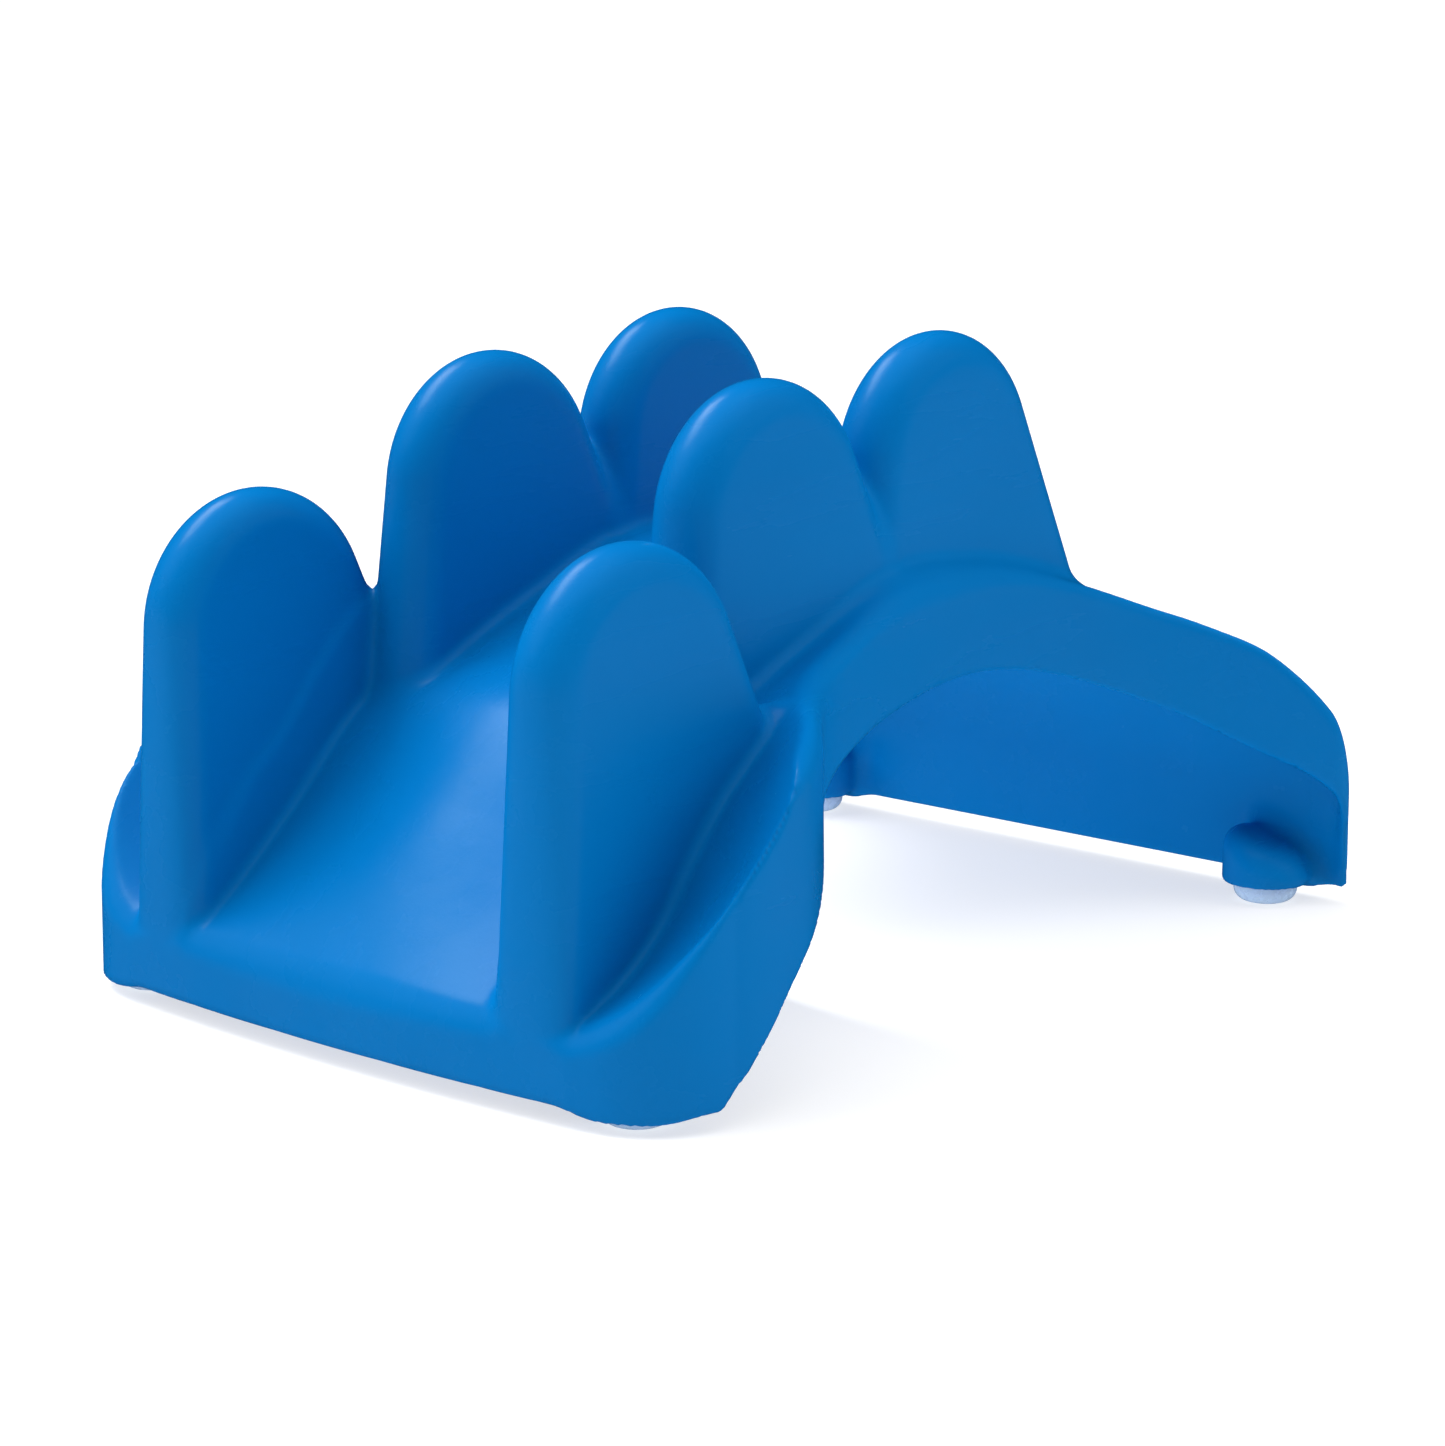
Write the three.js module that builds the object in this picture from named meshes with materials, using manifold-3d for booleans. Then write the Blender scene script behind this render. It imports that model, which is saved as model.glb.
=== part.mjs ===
// Sock aid: a one-piece moulded frame with six upright fingers that hold a sock open,
// standing on four stick-on bumper feet.  Millimetres, +Z up, front towards -Y.
import * as THREE from 'three';
import { mergeVertices } from 'three/addons/utils/BufferGeometryUtils.js';
import Module from 'manifold-3d';

const wasm = await Module();
wasm.setup();

// ---- driving dimensions -------------------------------------------------------------
const LENGTH = 345;          // front wall to back wall
const WALL = 3;              // wall of the moulding
const RIM_Z = 5.5;           // lower edge of the walls above the floor
const DRAFT = 0.012;         // inward lean of the outer walls

// Lengthwise stations from the front wall: [y, height at the centre line,
// height beside the front fingers, height at the side edge].
const DECK_STATIONS = [
  [-20, 4, 12, 10],
  [0, 24, 25, 30],
  [20, 44, 38, 52],
  [44, 67.5, 58, 75],
  [70, 91, 82, 93],
  [100, 105, 99, 108],
  [130, 117, 112, 115],
  [165, 129, 125, 119],
  [210, 128, 124, 118],
  [250, 116, 115, 114],
  [293, 101, 100, 99],
  [306, 95, 94, 93.5],
  [316, 89, 88, 88],
  [324, 82, 81, 81],
  [331, 74, 73, 73],
  [337, 64, 63, 63],
  [345, 46, 46, 46],
  [365, 0, 0, 0],
];
const VALLEY_X = 68;         // where the height beside the fingers is measured
const DECK_STEP = 15;        // size of the facets of the deck

// Half-width of the plan between the two corner arcs: [y, half-width].
const SIDE_STATIONS = [
  [33, 124.2], [44, 126], [54, 125.8], [68, 122.8], [84, 113.5], [110, 93], [134, 85],
  [171, 78], [210, 74.5], [246, 75], [280, 82], [305, 95], [318, 107.3], [332, 121.8],
];
const FRONT_BOW = 4.5;       // how far the front wall bows forward
const FRONT_CORNER = { x: 92.5, y: 36.5, r: 31.5 };
const BACK_CORNER = { x: 115.5, y: 337, r: 8 };

// Side arches: [y, height of the arch edge].
const ARCH_STATIONS = [
  [23, -5], [31, 6], [38, 13.5], [46, 23], [55, 33], [65, 42], [76, 49], [86, 55.5],
  [97, 64.5], [110, 73], [135, 83], [171, 90], [205, 92], [243, 86], [291, 68.5], [318, 52], [333, 40], [341, 22], [342, 0],
];
const ARCH_INNER_X = 60;     // the arches stop short of the centre line

// Fingers: a thin slab, fully rounded at its edges, with a round crown.
const FINGER_R = 10.8;       // half thickness at the crown
const CROWN_R = 39.5;        // radius of the crown seen from the side
const FINGER_FLARE = 0.03;   // growth of the half thickness towards the base
const FINGERS = [
  { name: 'front', x: 75, y: 44.7, top: 152.5, base: 34, frontLean: 0.05, backLean: 0.46 },
  { name: 'middle', x: 54.7, y: 123.7, top: 188, base: 86, frontLean: 0.12, backLean: 0.46 },
  { name: 'back', x: 53.3, y: 206.7, top: 195, base: 96, frontLean: 0.14, backLean: 0.46 },
];

// Feet: clear domes stuck into shallow seats in four bosses.
const BOSS_R = 14.3;
const BOSS_TOP = 24;
const BOSS_Z = 6.5;          // lower face of a boss above the floor
const SEAT_R = 10.8;
const SEAT_DEPTH = 2.4;
const FOOT_R = 10.5;
const FOOT_FLAT_R = 6;       // flat that rests on the floor
const FOOT_H = 7.5;
const PAD_R = 9.6;           // adhesive pad between foot and boss
const PAD_H = 0.8;
const GAP = 0.3;
const FEET = [
  { name: 'front_left', x: -100, y: 21.5 },
  { name: 'front_right', x: 100, y: 21.5 },
  { name: 'back_left', x: -97.5, y: 330.5 },
  { name: 'back_right', x: 97.5, y: 330.5 },
];

// ---- helpers ------------------------------------------------------------------------
// Smooth curve through [position, value] pairs.
function through(points) {
  const slope = points.map((p, i) => {
    const a = points[Math.max(i - 1, 0)];
    const b = points[Math.min(i + 1, points.length - 1)];
    return (b[1] - a[1]) / (b[0] - a[0]);
  });
  return (position) => {
    const last = points.length - 2;
    let i = points.findIndex((p) => p[0] > position) - 1;
    if (i < 0) i = position <= points[0][0] ? 0 : last;
    const [x0, v0] = points[i];
    const [x1, v1] = points[i + 1];
    const h = x1 - x0;
    const t = THREE.MathUtils.clamp((position - x0) / h, 0, 1);
    const ease = t * t * (3 - 2 * t);
    return v0 + (v1 - v0) * ease
      + h * t * (1 - t) * ((1 - t) * slope[i] - t * slope[i + 1]);
  };
}

function toSolid(geometry) {
  const bare = geometry.index ? geometry.toNonIndexed() : geometry.clone();
  bare.deleteAttribute('normal');
  bare.deleteAttribute('uv');
  const merged = mergeVertices(bare, 1e-4);
  return new wasm.Manifold(new wasm.Mesh({
    numProp: 3,
    vertProperties: new Float32Array(merged.attributes.position.array),
    triVerts: new Uint32Array(merged.index.array),
  }));
}

function toGeometry(solid) {
  const mesh = solid.getMesh();
  const geometry = new THREE.BufferGeometry();
  geometry.setAttribute('position', new THREE.BufferAttribute(mesh.vertProperties, 3));
  geometry.setIndex(new THREE.BufferAttribute(mesh.triVerts, 1));
  const faceted = geometry.toNonIndexed();
  faceted.computeVertexNormals();
  return faceted;
}

function mapPoints(geometry, change) {
  const position = geometry.attributes.position;
  const point = new THREE.Vector3();
  for (let i = 0; i < position.count; i += 1) {
    point.fromBufferAttribute(position, i);
    change(point);
    position.setXYZ(i, point.x, point.y, point.z);
  }
  return geometry;
}

// ---- deck and walls -----------------------------------------------------------------
const column = (index) => through(DECK_STATIONS.map((row) => [row[0], row[index]]));
const centreHeight = column(1);
const valleyHeight = column(2);
const edgeHeight = column(3);
const halfWidth = through(SIDE_STATIONS);

// Height of the deck: crowned between the fingers, rising again to the side edges.
function deckHeight(x, y) {
  const across = Math.abs(x);
  if (across < VALLEY_X) {
    const crown = 0.5 + 0.5 * Math.cos((Math.PI * across) / VALLEY_X);
    return valleyHeight(y) + (centreHeight(y) - valleyHeight(y)) * crown;
  }
  const width = Math.max(halfWidth(y) - VALLEY_X, 8);
  const out = Math.min((across - VALLEY_X) / width, 1.2);
  return valleyHeight(y) + (edgeHeight(y) - valleyHeight(y)) * out * out * (1.8 - 0.8 * out);
}

// Block under the deck surface, wide enough to be trimmed by the plan.
function deckBlock(drop) {
  const slope = (x, y) => Math.hypot(
    deckHeight(x + 1, y) - deckHeight(x - 1, y), deckHeight(x, y + 1) - deckHeight(x, y - 1)) / 2;
  const wide = 276;
  const long = 372;
  const block = new THREE.BoxGeometry(
    wide, long, 60, Math.round(wide / DECK_STEP), Math.round(long / DECK_STEP), 1);
  block.translate(0, LENGTH / 2, 0);
  return toSolid(mapPoints(block, (p) => {
    p.z = p.z > 0 ? deckHeight(p.x, p.y) - drop * Math.hypot(1, slope(p.x, p.y)) : -20;
  }));
}

// Right half of the plan from the front centre to the back centre.
function planHalf() {
  const points = [];
  for (let x = 0; x <= 90; x += 18) points.push([x, FRONT_BOW * (x / 95) ** 2]);
  for (let a = -80; a <= -5; a += 15) {
    const angle = THREE.MathUtils.degToRad(a);
    points.push([FRONT_CORNER.x + FRONT_CORNER.r * Math.cos(angle),
      FRONT_CORNER.y + FRONT_CORNER.r * Math.sin(angle)]);
  }
  for (let y = 40; y <= 330; y += 14.5) points.push([halfWidth(y), y]);
  for (let a = -40; a <= 90; a += 26) {
    const angle = THREE.MathUtils.degToRad(a);
    points.push([BACK_CORNER.x + BACK_CORNER.r * Math.cos(angle),
      BACK_CORNER.y + BACK_CORNER.r * Math.sin(angle)]);
  }
  return points.map(([x, y]) => new THREE.Vector2(x, y));
}

// Closed plan outline, set in from the outer face.
function planShape(inset) {
  const half = planHalf();
  const left = half.slice(1).reverse().map((p) => new THREE.Vector2(-p.x, p.y));
  const loop = [...half, ...left];
  const moved = loop.map((p, i) => {
    const before = loop[(i + loop.length - 1) % loop.length];
    const after = loop[(i + 1) % loop.length];
    const along = after.clone().sub(before).normalize();
    return new THREE.Vector2(p.x - along.y * inset, p.y + along.x * inset);
  });
  return new THREE.Shape(moved);
}

function planPrism(inset) {
  const bottom = -10;
  const height = 210;
  const prism = new THREE.ExtrudeGeometry(planShape(inset), {
    depth: height, bevelEnabled: false });
  prism.translate(0, 0, bottom);
  return toSolid(mapPoints(prism, (p) => {
    const lean = DRAFT * (p.z - bottom);
    p.x *= 1 - lean / 120;
    p.y += (LENGTH / 2 - p.y) * (lean / (LENGTH / 2));
  }));
}

// ---- fingers ------------------------------------------------------------------------
// The finger's flat core is drawn lengthwise and given full-round edges by the bevel.
function fingerSolid(finger, inset) {
  const core = CROWN_R - FINGER_R;
  const middle = finger.top - CROWN_R;
  const frontAngle = Math.atan(finger.frontLean);
  const backAngle = Math.atan(finger.backLean);
  const outline = new THREE.Shape();
  const drop = middle - finger.base;
  outline.moveTo(-core - drop * finger.frontLean, -drop);
  outline.lineTo(core + drop * finger.backLean, -drop);
  outline.absarc(0, 0, core, backAngle, Math.PI - frontAngle, false);
  const round = FINGER_R - inset;
  const slab = new THREE.ExtrudeGeometry(outline, {
    depth: 0.6, bevelEnabled: true, bevelThickness: round - 0.3, bevelSize: round,
    bevelSegments: 3, curveSegments: 8 });
  slab.translate(0, 0, -0.3);
  mapPoints(slab, (p) => {
    const [along, up, across] = [p.x, p.y, p.z];
    const flare = 1 + (FINGER_FLARE * Math.max(CROWN_R - up, 0)) / FINGER_R;
    p.set(finger.x + across * flare, finger.y + along, middle + up);
  });
  return toSolid(slab);
}

function mirrored(solid) {
  return solid.mirror([1, 0, 0]);
}

// ---- moulding -----------------------------------------------------------------------
function moulding(inset) {
  let solid = deckBlock(inset);
  for (const finger of FINGERS) {
    const one = fingerSolid(finger, inset);
    solid = solid.add(one).add(mirrored(one));
  }
  return solid.intersect(planPrism(inset));
}

// Cutter that opens the right-hand side wall under its arch.
function archCutter() {
  const edge = through(ARCH_STATIONS);
  const outline = new THREE.Shape();
  const first = ARCH_STATIONS[0][0];
  const last = ARCH_STATIONS[ARCH_STATIONS.length - 1][0];
  outline.moveTo(first, -20);
  const count = 28;
  for (let i = 0; i <= count; i += 1) {
    const y = THREE.MathUtils.lerp(first, last, i / count);
    outline.lineTo(y, edge(y));
  }
  outline.lineTo(last, -20);
  const cutter = new THREE.ExtrudeGeometry(outline, { depth: 90, bevelEnabled: false });
  mapPoints(cutter, (p) => {
    p.set(ARCH_INNER_X + p.z, p.x, p.y);
  });
  return toSolid(cutter);
}

function cylinder(radius, low, high, x, y) {
  const geometry = new THREE.CylinderGeometry(radius, radius, high - low, 24);
  geometry.rotateX(Math.PI / 2);
  geometry.translate(x, y, (low + high) / 2);
  return geometry;
}

function bodyGeometry() {
  const floorCut = new THREE.BoxGeometry(400, 500, 60);
  floorCut.translate(0, LENGTH / 2, RIM_Z - 30);
  const arch = archCutter();
  let solid = moulding(0).subtract(moulding(WALL)).subtract(toSolid(floorCut));
  solid = solid.subtract(arch).subtract(mirrored(arch));
  const withinWalls = planPrism(WALL / 2);
  for (const foot of FEET) {
    const boss = toSolid(cylinder(BOSS_R, BOSS_Z, BOSS_TOP, foot.x, foot.y)).intersect(withinWalls);
    const seat = toSolid(cylinder(SEAT_R, -5, BOSS_Z + SEAT_DEPTH, foot.x, foot.y));
    solid = solid.add(boss).subtract(seat);
  }
  return toGeometry(solid);
}

// ---- feet ---------------------------------------------------------------------------
function footGeometry() {
  const shoulder = 3.2;
  const profile = [new THREE.Vector2(0, 0), new THREE.Vector2(FOOT_FLAT_R, 0)];
  const steps = 4;
  for (let i = 1; i <= steps; i += 1) {
    const angle = (i / steps) * (Math.PI / 2);
    profile.push(new THREE.Vector2(
      FOOT_FLAT_R + (FOOT_R - FOOT_FLAT_R) * Math.sin(angle),
      shoulder * (1 - Math.cos(angle))));
  }
  profile.push(new THREE.Vector2(FOOT_R, FOOT_H), new THREE.Vector2(0, FOOT_H));
  const dome = new THREE.LatheGeometry(profile, 24);
  dome.rotateX(Math.PI / 2);
  return toGeometry(toSolid(dome));
}

// ---- assembly -----------------------------------------------------------------------
const blueMoulding = new THREE.MeshStandardMaterial({
  color: 0x0a6fc0, roughness: 0.38, metalness: 0 });
const clearSilicone = new THREE.MeshStandardMaterial({
  color: 0xd9e6ee, roughness: 0.25, metalness: 0 });
const padAdhesive = new THREE.MeshStandardMaterial({
  color: 0xe6e6e0, roughness: 0.8, metalness: 0 });

function named(name, geometry, material) {
  const mesh = new THREE.Mesh(geometry, material);
  mesh.name = name;
  return mesh;
}

const sockAid = new THREE.Group();
sockAid.position.y = -LENGTH / 2;
sockAid.add(named('moulded_body', bodyGeometry(), blueMoulding));
for (const foot of FEET) {
  const dome = named(`foot_${foot.name}`, footGeometry(), clearSilicone);
  dome.position.set(foot.x, foot.y, 0);
  const low = FOOT_H + GAP;
  const pad = named(`adhesive_pad_${foot.name}`,
    cylinder(PAD_R, low, low + PAD_H, foot.x, foot.y), padAdhesive);
  sockAid.add(dome, pad);
}

export default sockAid;
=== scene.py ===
import math

import bmesh
import bpy
import numpy as np
from mathutils import Matrix, Vector


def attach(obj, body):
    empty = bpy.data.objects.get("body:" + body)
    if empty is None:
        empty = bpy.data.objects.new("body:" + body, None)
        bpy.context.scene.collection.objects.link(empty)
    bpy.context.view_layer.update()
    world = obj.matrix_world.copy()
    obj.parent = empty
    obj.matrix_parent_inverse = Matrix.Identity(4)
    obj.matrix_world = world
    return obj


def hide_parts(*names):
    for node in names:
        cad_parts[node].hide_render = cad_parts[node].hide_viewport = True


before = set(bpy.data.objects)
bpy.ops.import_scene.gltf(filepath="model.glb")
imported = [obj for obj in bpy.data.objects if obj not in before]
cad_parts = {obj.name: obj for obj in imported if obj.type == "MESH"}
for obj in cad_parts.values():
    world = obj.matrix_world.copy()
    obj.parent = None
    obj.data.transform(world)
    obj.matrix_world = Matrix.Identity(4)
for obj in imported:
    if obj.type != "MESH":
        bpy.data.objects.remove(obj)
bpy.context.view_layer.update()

# A sock aid: one smooth blue moulding with six fingers, on four clear bumper feet.
# The shape is worked out in millimetres, with x across from the middle, y back from the front
# wall and z up from the floor, and turned into the frame's metres when a mesh is made.
MM = 0.001
LENGTH = 345.0
CENTRE_Y = LENGTH / 2

# ---- shape of the moulding ----------------------------------------------------------------
HALF_SPAN = 132.0            # how far out from the middle the moulding is looked for
WALL = 3.0
RIM_Z = 5.5                  # lower edge of the walls
RIM_ROUND = 1.4              # rounding of every cut edge
DRAFT = 0.012                # inward lean of the outer walls
MESH_STEP = 1.5

# [y, height on the centre line, beside the fingers, at the side edge]
DECK = np.array([
    [-20, 4, 12, 60],
    [0, 24, 24, 74],
    [20, 44, 38, 84],
    [44, 67.5, 58, 92],
    [70, 91, 82, 99],
    [100, 105, 99, 107],
    [130, 117, 112, 115],
    [165, 129, 125, 119],
    [210, 128, 124, 118],
    [250, 116, 115, 114],
    [293, 101, 100, 99],
    [306, 95, 94, 93.5],
    [316, 89, 88, 88],
    [324, 82, 81, 81],
    [331, 74, 73, 73],
    [337, 64, 63, 63],
    [345, 46, 46, 46],
    [365, 0, 0, 0],
], float)
VALLEY_X = 68.0              # where the second height is measured
MOST_OUT = 1.2               # how far past the side edge, as a share, the surfaces carry on

# Leaf-shaped scoop beside each front finger: [y, height at the finger, rise to the side edge]
SCOOP = np.array([
    [-10, 24, 6], [5, 26, 14], [20, 31.5, 23], [32, 38.5, 24.5], [44, 49, 25], [56, 64, 22.5],
    [68, 77, 26], [80, 87, 27], [92, 97, 26], [105, 113, 25], [115, 135, 25],
], float)
SCOOP_X = 90.0               # the finger's outer foot
SCOOP_WIDTH = 35.0
SCOOP_INNER_X = 72.0         # inside the finger, where the cut climbs out of the way
SCOOP_INNER_SLOPE = 3.0
SCOOP_EDGE = np.array([[0, 7], [16, 6], [32, 1.4], [110, 1.2]], float)   # [y, rim's rounding]

SIDES = np.array([           # [y, half-width] between the two corner arcs
    [33, 124.2], [44, 126], [54, 125.8], [68, 122.8], [84, 113.5], [110, 93], [134, 85],
    [171, 78], [210, 74.5], [246, 75], [280, 82], [305, 95], [318, 107.3], [332, 121.8],
], float)
FRONT_BOW = 4.5              # how far the front wall curves back
FRONT_BOW_X = 95.0
FRONT_CORNER = (92.5, 36.5, 31.5)   # x, y, radius
BACK_CORNER = (115.5, 337.0, 8.0)

SHOULDER = np.array([        # [y, radius between deck and walls]
    [-10, 5], [30, 5], [60, 9], [115, 9], [145, 6], [175, 3.5], [300, 3], [318, 3.5],
    [332, 7], [360, 7],
], float)

ARCH = np.array([            # [y, height of the side arch]
    [23, -5], [31, 6], [38, 13.5], [46, 23], [55, 33], [65, 42], [76, 49], [86, 55.5],
    [97, 64.5], [110, 73], [135, 83], [171, 90], [205, 92],
    [243, 86], [291, 68.5], [318, 52], [333, 40], [341, 22], [342, 0],
], float)
ARCH_INNER_X = 60.0          # the arch is cut outwards from here

FINGER_R = 10.8              # half thickness at the crown
CROWN_R = 39.5               # crown radius seen from the side
FINGER_FLARE = 0.03          # thickening towards the foot
FINGER_EDGE_ROUND = 3.0      # where a finger's side runs into the wall below it
FINGERS = [
    dict(x=75.0, y=44.7, top=152.5, front_lean=0.05, back_lean=0.46, fillet=3.0),
    dict(x=54.7, y=123.7, top=188.0, front_lean=0.12, back_lean=0.46, fillet=4.0),
    dict(x=53.3, y=206.7, top=195.0, front_lean=0.14, back_lean=0.46, fillet=5.0),
]

FILLET_FADES = (0, 22)       # y range over which the fillets grow from the front wall
FILLET_LEAST = 0.2           # their share of the full radius at the front wall
NECK_FILLET = 7.0            # added where a front finger's outer back edge runs into the neck

BOSS_R = 14.3
BOSS_Z = 6.5                 # underside
BOSS_TOP = 21.0              # on its axis; the top slopes down outwards
BOSS_SLOPE = 0.4
BOSS_TOP_ROUND = 8.0
BOSS_RIM_ROUND = 1.0
BOSS_FILLET = 9.0            # between a boss and the walls
SEAT_R = 10.8                # shallow seat for the foot, in the boss's underside
SEAT_DEPTH = 2.4
SEAT_EDGE_ROUND = 0.5
FEET = {"front": (100.0, 21.5), "back": (97.5, 330.5)}   # x, y
FOOT_R, FOOT_TOP, FOOT_FLAT_R, FOOT_DOME = 10.5, 7.5, 6.0, 4.6
PAD_R, PAD_LOW, PAD_HIGH, PAD_BEVEL = 9.6, 7.8, 8.6, 0.2


# ---- field helpers: negative inside, positive outside, near enough a distance --------------
def curve(stations, column, at):
    """Smooth curve through the stations: cubic, with central slopes."""
    along, value = stations[:, 0], stations[:, column]
    slope = np.empty_like(value)
    slope[1:-1] = (value[2:] - value[:-2]) / (along[2:] - along[:-2])
    slope[0] = (value[1] - value[0]) / (along[1] - along[0])
    slope[-1] = (value[-1] - value[-2]) / (along[-1] - along[-2])
    i = np.clip(np.searchsorted(along, at, side="right") - 1, 0, len(along) - 2)
    gap = along[i + 1] - along[i]
    t = np.clip((at - along[i]) / gap, 0, 1)
    ease = t * t * (3 - 2 * t)
    bend = gap * t * (1 - t) * ((1 - t) * slope[i] - t * slope[i + 1])
    return value[i] + (value[i + 1] - value[i]) * ease + bend


def round_max(a, b, radius):
    """Intersection with its edge rounded."""
    over = np.hypot(np.maximum(a + radius, 0), np.maximum(b + radius, 0))
    return np.minimum(np.maximum(a, b), -radius) + over


def round_min(a, b, radius):
    """Union with its inner corner filleted."""
    return -round_max(-a, -b, radius)


def outline_distance(points, outline):
    """Signed distance of 2-D points to a closed outline, negative inside."""
    start, end = outline, np.roll(outline, -1, axis=0)
    best = np.full(len(points), np.inf)
    inside = np.zeros(len(points), bool)
    for (ax, ay), (bx, by) in zip(start, end):
        px, py = points[:, 0] - ax, points[:, 1] - ay
        ex, ey = bx - ax, by - ay
        t = np.clip((px * ex + py * ey) / (ex * ex + ey * ey), 0, 1)
        best = np.minimum(best, np.hypot(px - t * ex, py - t * ey))
        if ay != by:
            crosses = (ay > points[:, 1]) != (by > points[:, 1])
            inside ^= crosses & (px < ex * py / ey)
    return np.where(inside, -best, best)


class Table:
    """A 2-D field kept on a fine grid and read back between its points."""

    def __init__(self, low, high, step, field):
        self.low, self.step = low, step
        u = np.arange(low[0], high[0] + step, step)
        v = np.arange(low[1], high[1] + step, step)
        grid = np.stack(np.meshgrid(u, v, indexing="ij"), axis=-1)
        self.values = field(grid.reshape(-1, 2)).reshape(len(u), len(v))

    def __call__(self, u, v):
        fu = np.clip((u - self.low[0]) / self.step, 0, self.values.shape[0] - 1.001)
        fv = np.clip((v - self.low[1]) / self.step, 0, self.values.shape[1] - 1.001)
        i, j = np.floor(fu).astype(int), np.floor(fv).astype(int)
        s, t = fu - i, fv - j
        k = self.values
        return ((k[i, j] * (1 - s) + k[i + 1, j] * s) * (1 - t)
                + (k[i, j + 1] * (1 - s) + k[i + 1, j + 1] * s) * t)


# ---- the moulding's field --------------------------------------------------------------------
def arc(corner, low, high, count):
    """Points of a corner's arc between two angles in degrees."""
    cx, cy, radius = corner
    angles = np.radians(np.linspace(low, high, count))
    return np.stack([cx + radius * np.cos(angles), cy + radius * np.sin(angles)], axis=1)


def plan_outline():
    """Outline of the footprint, anticlockwise from the middle of the front."""
    x = np.linspace(0, 90, 20)   # as far as the front corner's arc
    front = np.stack([x, FRONT_BOW * (x / FRONT_BOW_X) ** 2], axis=1)
    y = np.linspace(39, 331, 120)
    side = np.stack([curve(SIDES, 1, y), y], axis=1)
    front_corner = arc(FRONT_CORNER, -81, -3, 16)
    back_corner = arc(BACK_CORNER, -45, 90, 14)
    half = np.concatenate([front, front_corner, side, back_corner])
    left = half[1:][::-1] * (-1, 1)
    return np.concatenate([half, left])


def arch_outline():
    """Outline of the side arch in y and z, open below the floor."""
    y = np.linspace(ARCH[0, 0], ARCH[-1, 0], 120)
    top = np.stack([y, curve(ARCH, 1, y)], axis=1)
    return np.concatenate([[[ARCH[0, 0], -40]], top, [[ARCH[-1, 0], -40]]])


PLAN = Table((-3, -15), (140, 362), 0.75, lambda p: outline_distance(p, plan_outline()))
ARCHWAY = Table((-15, -10), (362, 206), 0.75, lambda p: outline_distance(p, arch_outline()))


def deck_height(across, y):
    """Height of the deck: crowned between the fingers, then blending to the side edges."""
    centre, valley, edge = (curve(DECK, column, y) for column in (1, 2, 3))
    crown = 0.5 + 0.5 * np.cos(math.pi * np.minimum(across / VALLEY_X, 1))
    width = np.maximum(curve(SIDES, 1, y) - VALLEY_X, 8)
    out = np.clip((across - VALLEY_X) / width, 0, MOST_OUT)
    return (valley + (centre - valley) * crown
            + (edge - valley) * out * out * (1.8 - 0.8 * out))


def scoop_height(across, y):
    """Height of the scooped surface outside a front finger."""
    out = np.clip((across - SCOOP_X) / SCOOP_WIDTH, 0, MOST_OUT)
    hidden = np.maximum(SCOOP_INNER_X - across, 0) * SCOOP_INNER_SLOPE
    return curve(SCOOP, 1, y) + curve(SCOOP, 2, y) * out * (0.6 + 0.4 * out) + hidden


def below(height, across, y, z):
    """Field of the space below a surface given by its height."""
    level = height(across, y)
    rise_x = height(across + 0.5, y) - height(np.abs(across - 0.5), y)
    rise_y = height(across, y + 0.5) - height(across, y - 0.5)
    return (z - level) / np.sqrt(1 + rise_x ** 2 + rise_y ** 2)


def finger_field(finger, across, y, z):
    """A flat core drawn lengthwise, given full-round edges."""
    core = CROWN_R - FINGER_R
    along, up = y - finger["y"], z - (finger["top"] - CROWN_R)
    front, back = math.atan(finger["front_lean"]), math.atan(finger["back_lean"])
    crown = np.hypot(along, up) - core
    ahead = up * math.sin(front) - along * math.cos(front) - core
    behind = along * math.cos(back) + up * math.sin(back) - core
    in_crown = ((up * math.cos(back) - along * math.sin(back) >= 0)
                & (up * math.cos(front) + along * math.sin(front) >= 0))
    outline = np.where(in_crown, crown, np.maximum(ahead, behind))
    flare = 1 + FINGER_FLARE * np.maximum(CROWN_R - up, 0) / FINGER_R
    return np.hypot(np.maximum(outline, 0), (across - finger["x"]) / flare) - FINGER_R


def ramp(low, high, value):
    """Eases from 0 at low to 1 at high."""
    t = np.clip((value - low) / (high - low), 0, 1)
    return t * t * (3 - 2 * t)


def skin_field(across, y, z):
    """The outer skin, as if the moulding were solid."""
    plan = PLAN(across, y) + DRAFT * z
    skin = round_max(below(deck_height, across, y, z), plan, curve(SHOULDER, 1, y))
    fingers = [round_max(finger_field(f, across, y, z), plan, FINGER_EDGE_ROUND)
               for f in FINGERS]
    neck = FINGERS[0]["fillet"] + NECK_FILLET * ramp(50, 78, y) * ramp(74, 84, across)
    skin = round_min(skin, fingers[0], neck)
    skin = round_max(skin, below(scoop_height, across, y, z), curve(SCOOP_EDGE, 1, y))
    share = FILLET_LEAST + (1 - FILLET_LEAST) * ramp(*FILLET_FADES, y)
    for one, finger in zip(fingers, FINGERS):
        skin = round_min(skin, one, finger["fillet"] * share)
    return np.maximum(skin, plan)


def boss_field(across, y, z, foot):
    """The round boss above a foot, not yet trimmed to the walls."""
    bx, by = foot
    radial = np.hypot(across - bx, y - by)
    top = (z - BOSS_TOP + BOSS_SLOPE * (across - bx)) / math.hypot(1, BOSS_SLOPE)
    return round_max(round_max(radial - BOSS_R, top, BOSS_TOP_ROUND), BOSS_Z - z, BOSS_RIM_ROUND)


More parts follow.
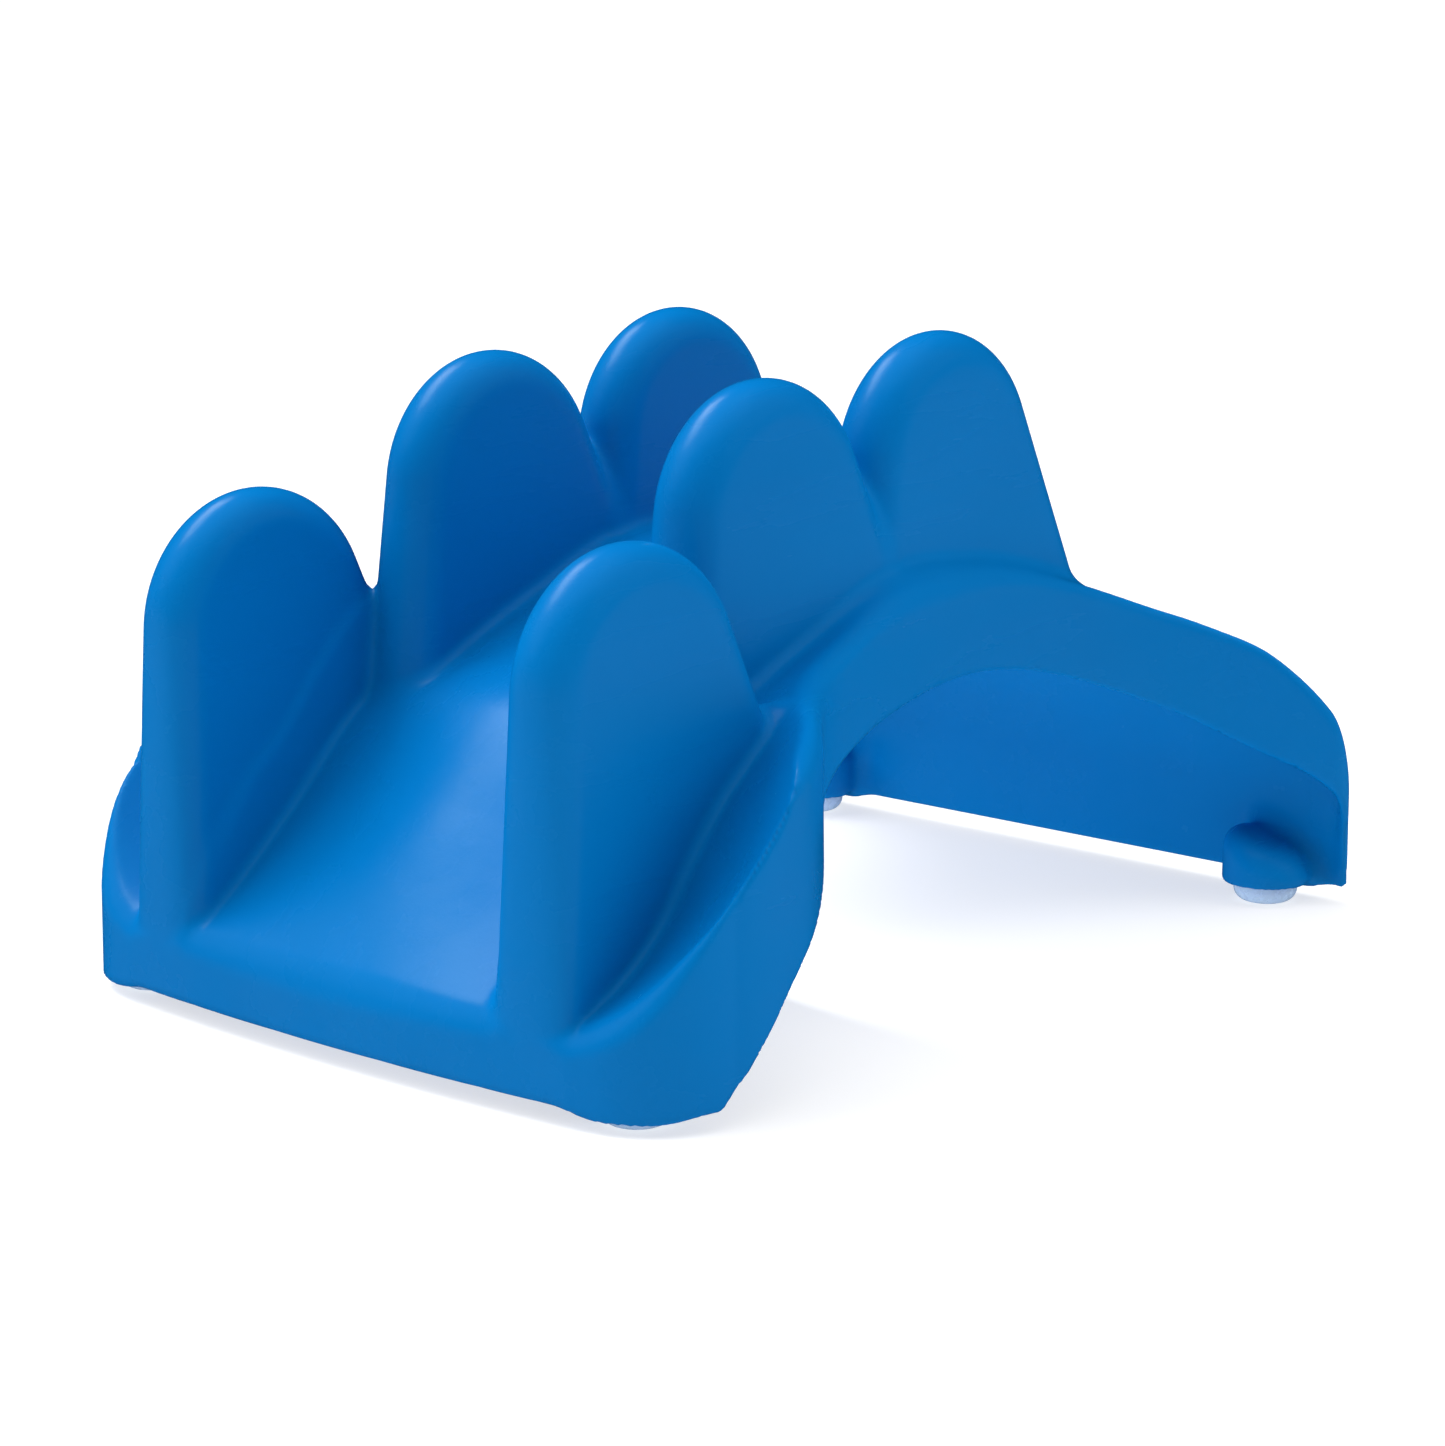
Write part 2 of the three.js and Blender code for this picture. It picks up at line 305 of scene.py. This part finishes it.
def moulding_field(x, y, z):
    """The whole moulding: a shell open below, with arches, bosses and seats."""
    across = np.abs(x)
    skin = skin_field(across, y, z)
    shell = np.maximum(skin, -(skin + WALL))
    shell = round_max(shell, RIM_Z - z, RIM_ROUND)
    arch = np.maximum(ARCHWAY(y, z), ARCH_INNER_X - across)
    shell = round_max(shell, -arch, RIM_ROUND)
    for foot in FEET.values():
        boss = np.maximum(boss_field(across, y, z, foot), skin + WALL / 2)
        shell = np.maximum(round_min(shell, boss, BOSS_FILLET), skin)
        radial = np.hypot(across - foot[0], y - foot[1])
        seat = np.maximum(radial - SEAT_R, z - BOSS_Z - SEAT_DEPTH)
        shell = round_max(shell, -seat, SEAT_EDGE_ROUND)
    return shell


# ---- meshing -----------------------------------------------------------------------------------
def surface_net(values, low, step):
    """Quads through the zero level of a field on a grid, one vertex in each mixed cell."""
    inside = values < 0
    corners = [(i, j, k) for i in (0, 1) for j in (0, 1) for k in (0, 1)]
    nx, ny, nz = (n - 1 for n in values.shape)
    count = sum(inside[i:nx + i, j:ny + j, k:nz + k].astype(np.int8) for i, j, k in corners)
    cells = np.argwhere((count > 0) & (count < 8))
    index = np.full((nx, ny, nz), -1, np.int64)
    index[tuple(cells.T)] = np.arange(len(cells))
    total = np.zeros((len(cells), 3))
    crossings = np.zeros(len(cells))
    for a in corners:
        for axis in range(3):
            if a[axis]:
                continue
            b = tuple(c + (n == axis) for n, c in enumerate(a))
            va = values[tuple((cells + a).T)]
            vb = values[tuple((cells + b).T)]
            cross = (va < 0) != (vb < 0)
            t = np.where(cross, va / np.where(cross, va - vb, 1), 0)
            total += (np.array(a, float) + t[:, None] * (np.arange(3) == axis)) * cross[:, None]
            crossings += cross
    points = (cells + total / crossings[:, None]) * step + low
    quads = []
    for axis in range(3):
        u, v = (axis + 1) % 3, (axis + 2) % 3
        near = [slice(1, n) for n in (nx, ny, nz)]
        near[axis] = slice(0, (nx, ny, nz)[axis])
        far = list(near)
        far[axis] = slice(1, (nx, ny, nz)[axis] + 1)
        for sign in (True, False):
            edge = np.argwhere((inside[tuple(near)] == sign) & (inside[tuple(far)] != sign))
            start = edge + [0 if n == axis else 1 for n in range(3)]
            back_u, back_v = np.eye(3, dtype=int)[u], np.eye(3, dtype=int)[v]
            loop = [start - back_u - back_v, start - back_v, start, start - back_u]
            if not sign:
                loop.reverse()
            quads.append(np.stack([index[tuple(c.T)] for c in loop], axis=1))
    return points, np.concatenate(quads)


def slope_of(field, points, reach=0.05):
    """Gradient of a field at each point."""
    steps = np.eye(3) * reach
    return np.stack([(field(*(points + s).T) - field(*(points - s).T)) / (2 * reach)
                     for s in steps], axis=1)


def settle(field, points, most):
    """Moves points straight towards the zero level, by at most a given length."""
    slope = slope_of(field, points)
    away = field(*points.T)[:, None] * slope / np.maximum((slope ** 2).sum(axis=1), 0.2)[:, None]
    size = np.linalg.norm(away, axis=1)[:, None]
    return points - away * np.minimum(1, most / np.maximum(size, 1e-9))


def even_out(points, quads, share):
    """Moves each vertex part of the way to the mean of its neighbours."""
    total = np.zeros_like(points)
    number = np.zeros(len(points))
    for a, b in ((0, 1), (1, 2), (2, 3), (3, 0)):
        for here, there in ((a, b), (b, a)):
            for axis in range(3):
                total[:, axis] += np.bincount(
                    quads[:, here], points[quads[:, there], axis], len(points))
            number += np.bincount(quads[:, here], minlength=len(points))
    return points + share * (total / number[:, None] - points)


def moulding_mesh(step):
    """Points and quads of the moulding, even on both sides of the middle."""
    half = np.arange(step / 2, HALF_SPAN, step)
    y = np.arange(-4, LENGTH + 5, step)
    z = np.arange(1.2, 200, step)
    one_side = moulding_field(half[:, None, None], y[None, :, None], z[None, None, :])
    values = np.concatenate([one_side[::-1], one_side])
    points, quads = surface_net(values, np.array([-half[-1], y[0], z[0]]), step)
    for _ in range(3):
        points = settle(moulding_field, points, step / 2)
        points = even_out(points, quads, 0.4)
    for _ in range(2):
        points = settle(moulding_field, points, step / 2)
    return points, quads


def put_in_scene(name, data):
    thing = bpy.data.objects.new(name, data)
    bpy.context.scene.collection.objects.link(thing)
    return thing


def to_object(name, points, faces):
    """Makes a smooth-shaded object from points in millimetres."""
    mesh = bpy.data.meshes.new(name)
    metres = (points - (0, CENTRE_Y, 0)) * MM
    mesh.from_pydata(metres.tolist(), [], faces.tolist())
    mesh.validate()
    mesh.shade_smooth()
    return put_in_scene(name, mesh)


# ---- feet and pads -----------------------------------------------------------------------------
def lathe(name, profile, place, segments=64):
    """Solid of revolution about a vertical axis at place, from a profile of [radius, z]."""
    made = bmesh.new()
    px, py = place
    rings = []
    for radius, z in profile:
        if radius < 1e-6:
            rings.append([made.verts.new((px, py, z))])
            continue
        turn = [2 * math.pi * i / segments for i in range(segments)]
        rings.append([made.verts.new((px + radius * math.cos(a), py + radius * math.sin(a), z))
                      for a in turn])
    for low, high in zip(rings, rings[1:]):
        for i in range(segments):
            j = (i + 1) % segments
            loop = [low[i % len(low)], low[j % len(low)], high[j % len(high)], high[i % len(high)]]
            made.faces.new(dict.fromkeys(loop))
    bmesh.ops.recalc_face_normals(made, faces=made.faces)
    made.transform(Matrix.Translation((0, -CENTRE_Y, 0)))
    made.transform(Matrix.Scale(MM, 4))
    mesh = bpy.data.meshes.new(name)
    made.to_mesh(mesh)
    made.free()
    mesh.shade_smooth()
    return put_in_scene(name, mesh)


# ---- materials ---------------------------------------------------------------------------------
def new_material(name):
    material = bpy.data.materials.new(name)
    material.use_nodes = True
    return material, material.node_tree, material.node_tree.nodes["Principled BSDF"]


def noise(tree, scale, detail=4.0, stretch=(1, 1, 1)):
    """Noise in object space; scale is per metre."""
    place = tree.nodes.new("ShaderNodeTexCoord")
    mapping = tree.nodes.new("ShaderNodeMapping")
    mapping.inputs["Scale"].default_value = stretch
    texture = tree.nodes.new("ShaderNodeTexNoise")
    texture.inputs["Scale"].default_value = scale
    texture.inputs["Detail"].default_value = detail
    tree.links.new(place.outputs["Object"], mapping.inputs["Vector"])
    tree.links.new(mapping.outputs["Vector"], texture.inputs["Vector"])
    return texture.outputs["Fac"]


def remap(tree, value, low, high, start=0.3, end=0.7):
    """Stretches a value's range, start to end, to low to high, and clamps it."""
    node = tree.nodes.new("ShaderNodeMapRange")
    node.inputs["From Min"].default_value = start
    node.inputs["From Max"].default_value = end
    node.inputs["To Min"].default_value = low
    node.inputs["To Max"].default_value = high
    tree.links.new(value, node.inputs["Value"])
    return node.outputs["Result"]


def blend_colours(tree, share, first, second):
    node = tree.nodes.new("ShaderNodeMix")
    node.data_type = "RGBA"
    node.inputs["A"].default_value = (*first, 1)
    node.inputs["B"].default_value = (*second, 1)
    tree.links.new(share, node.inputs["Factor"])
    return node.outputs["Result"]


def bump(tree, height, distance, strength, under=None):
    node = tree.nodes.new("ShaderNodeBump")
    node.inputs["Distance"].default_value = distance
    node.inputs["Strength"].default_value = strength
    tree.links.new(height, node.inputs["Height"])
    if under is not None:
        tree.links.new(under, node.inputs["Normal"])
    return node.outputs["Normal"]


def blue_moulding():
    """Semi-gloss blue plastic: faint flow shading, fine mould grain and light scuffs."""
    material, tree, shader = new_material("blue_moulding")
    colour = blend_colours(tree, remap(tree, noise(tree, 9), 0, 1),
                           (0.0, 0.148, 0.44), (0.0, 0.160, 0.47))
    tree.links.new(colour, shader.inputs["Base Color"])
    scuffs = noise(tree, 60, 6, stretch=(1, 0.15, 1))
    tree.links.new(remap(tree, scuffs, 0.23, 0.30), shader.inputs["Roughness"])
    shader.inputs["Specular IOR Level"].default_value = 0.12
    shader.inputs["Specular Tint"].default_value = (0.55, 0.86, 1.0, 1.0)
    peel = bump(tree, noise(tree, 140, 2), 0.0006, 0.12)
    grain = bump(tree, noise(tree, 1500, 3), 0.0001, 0.25, peel)
    tree.links.new(grain, shader.inputs["Normal"])
    return material


def clear_silicone():
    """Soft translucent silicone with a faint haze."""
    material, tree, shader = new_material("clear_silicone")
    colour = blend_colours(tree, remap(tree, noise(tree, 150), 0, 1),
                           (0.46, 0.62, 0.86), (0.52, 0.68, 0.90))
    tree.links.new(colour, shader.inputs["Base Color"])
    tree.links.new(remap(tree, noise(tree, 400), 0.22, 0.34), shader.inputs["Roughness"])
    shader.inputs["Transmission Weight"].default_value = 0.08
    shader.inputs["Subsurface Weight"].default_value = 0.6
    shader.inputs["Subsurface Radius"].default_value = (1.0, 1.0, 1.0)
    shader.inputs["Subsurface Scale"].default_value = 0.004
    shader.inputs["IOR"].default_value = 1.41
    tree.links.new(bump(tree, noise(tree, 900, 2), 0.0001, 0.3), shader.inputs["Normal"])
    return material


def pad_adhesive():
    """Matt off-white adhesive film with a dimpled face."""
    material, tree, shader = new_material("pad_adhesive")
    colour = blend_colours(tree, remap(tree, noise(tree, 300), 0, 1),
                           (0.74, 0.74, 0.69), (0.82, 0.82, 0.78))
    tree.links.new(colour, shader.inputs["Base Color"])
    tree.links.new(remap(tree, noise(tree, 500), 0.7, 0.9), shader.inputs["Roughness"])
    tree.links.new(bump(tree, noise(tree, 1200, 2), 0.0002, 0.4), shader.inputs["Normal"])
    return material


def floor_material():
    material, tree, shader = new_material("white_floor")
    colour = blend_colours(tree, remap(tree, noise(tree, 3), 0, 1),
                           (0.42, 0.42, 0.42), (0.43, 0.43, 0.43))
    tree.links.new(colour, shader.inputs["Base Color"])
    shader.inputs["Roughness"].default_value = 0.9
    shader.inputs["Specular IOR Level"].default_value = 0.1
    shader.inputs["Emission Color"].default_value = (1, 1, 1, 1)
    shader.inputs["Emission Strength"].default_value = FLOOR_GLOW
    material.cycles.emission_sampling = "NONE"
    return material


# ---- pieces ------------------------------------------------------------------------------------
def add_piece(piece, node, material):
    piece.data.materials.append(material)
    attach(piece, "root")
    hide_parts(node)


def make_body():
    body = to_object("sock_aid_moulding", *moulding_mesh(MESH_STEP))
    add_piece(body, "moulded_body", blue_moulding())


def make_feet():
    """Domed bumpers, each stuck into its seat by a thin pad."""
    silicone, adhesive = clear_silicone(), pad_adhesive()
    dome = [(FOOT_FLAT_R + (FOOT_R - FOOT_FLAT_R) * math.sin(a), FOOT_DOME * (1 - math.cos(a)))
            for a in np.linspace(0, math.pi / 2, 14)]
    foot_profile = [(0, 0), (3.5, 0), *dome,
                    (FOOT_R, FOOT_TOP - 0.5), (FOOT_R - 0.5, FOOT_TOP), (0, FOOT_TOP)]
    pad_profile = [(0, PAD_LOW), (PAD_R - PAD_BEVEL, PAD_LOW), (PAD_R, PAD_LOW + PAD_BEVEL),
                   (PAD_R, PAD_HIGH - PAD_BEVEL), (PAD_R - PAD_BEVEL, PAD_HIGH), (0, PAD_HIGH)]
    for end, (x, y) in FEET.items():
        for side, sign in (("left", -1), ("right", 1)):
            spot = (sign * x, y)
            foot = lathe(f"bumper_{end}_{side}", foot_profile, spot)
            add_piece(foot, f"foot_{end}_{side}", silicone)
            pad = lathe(f"pad_{end}_{side}", pad_profile, spot)
            add_piece(pad, f"adhesive_pad_{end}_{side}", adhesive)


# ---- stage -------------------------------------------------------------------------------------
CAMERA_PLACE = (0.74306, -0.84524, 0.31378)
CAMERA_AZIMUTH = math.radians(41.417)
CAMERA_DOWN = math.radians(12.164)
CAMERA_LENS = 91.72
FLOOR_HALF = 6.0             # metres
WORLD_LIGHT = 0.33
WORLD_SEEN = 1.05            # the world's strength where the camera looks straight at it
FLOOR_GLOW = 0.64
BROAD_LIGHTS = [             # name, direction towards it, W per square metre, spread in degrees
    ("front_left_panel", (-0.5, -0.45, 0.6), 1.55, 50),
    ("high_left_panel", (-0.9, -0.12, 1.28), 1.5, 30),
    ("right_panel", (0.68, 0.45, 0.6), 0.95, 50),
    ("top_panel", (0, 0, 1), 1.6, 60),
]


def make_camera():
    data = bpy.data.cameras.new("camera")
    data.lens = CAMERA_LENS
    data.sensor_width = 36
    data.sensor_fit = "HORIZONTAL"
    camera = put_in_scene("camera", data)
    camera.location = CAMERA_PLACE
    camera.rotation_euler = (math.pi / 2 - CAMERA_DOWN, 0, CAMERA_AZIMUTH)
    bpy.context.scene.camera = camera


def make_floor():
    """A plain white floor, which the plastic doesn't mirror."""
    mesh = bpy.data.meshes.new("floor")
    corners = [(-1, -1), (1, -1), (1, 1), (-1, 1)]
    mesh.from_pydata([(FLOOR_HALF * x, FLOOR_HALF * y, 0) for x, y in corners],
                     [], [(0, 1, 2, 3)])
    mesh.materials.append(floor_material())
    floor = put_in_scene("floor", mesh)
    floor.visible_glossy = False


def softbox(name, place, size, power, target=(0, 0, 0.08)):
    """A rectangular lamp at place, in metres, aimed at target."""
    data = bpy.data.lights.new(name, "AREA")
    data.shape = "RECTANGLE"
    data.size, data.size_y = size
    data.energy = power
    lamp = put_in_scene(name, data)
    lamp.location = place
    away = lamp.location - Vector(target)
    lamp.rotation_euler = away.to_track_quat("Z", "Y").to_euler()
    return lamp


def broad_light(name, direction, strength, spread):
    """A soft distant light that leaves no reflection of its own."""
    data = bpy.data.lights.new(name, "SUN")
    data.energy = strength
    data.angle = math.radians(spread)
    lamp = put_in_scene(name, data)
    lamp.rotation_euler = Vector(direction).to_track_quat("Z", "Y").to_euler()
    lamp.visible_glossy = False


def make_world():
    """Even grey light that isn't mirrored; white where the camera sees past the floor."""
    world = bpy.data.worlds.new("studio")
    world.use_nodes = True
    tree = world.node_tree
    background = tree.nodes["Background"]
    path = tree.nodes.new("ShaderNodeLightPath")
    strength = remap(tree, path.outputs["Is Camera Ray"], WORLD_LIGHT, WORLD_SEEN, 0, 1)
    tree.links.new(strength, background.inputs["Strength"])
    background.inputs["Color"].default_value = (1, 1, 1, 1)
    world.cycles_visibility.glossy = False
    bpy.context.scene.world = world


def make_light():
    """Broad lights for the shading, a softbox for the highlights, and a fill under the arch."""
    make_world()
    for light in BROAD_LIGHTS:
        broad_light(*light)
    key = softbox("key", (-0.9, -0.12, 1.36), (1.1, 0.45), 10.5)
    key.visible_diffuse = False
    glow = softbox("under_fill", (0.0, -0.03, 0.035), (0.16, 0.03), 0.15, (0.03, 0.17, 0.04))
    glow.visible_camera = glow.visible_glossy = False


make_camera()
make_body()
make_feet()
make_floor()
make_light()
bpy.context.scene.view_settings.view_transform = "Standard"
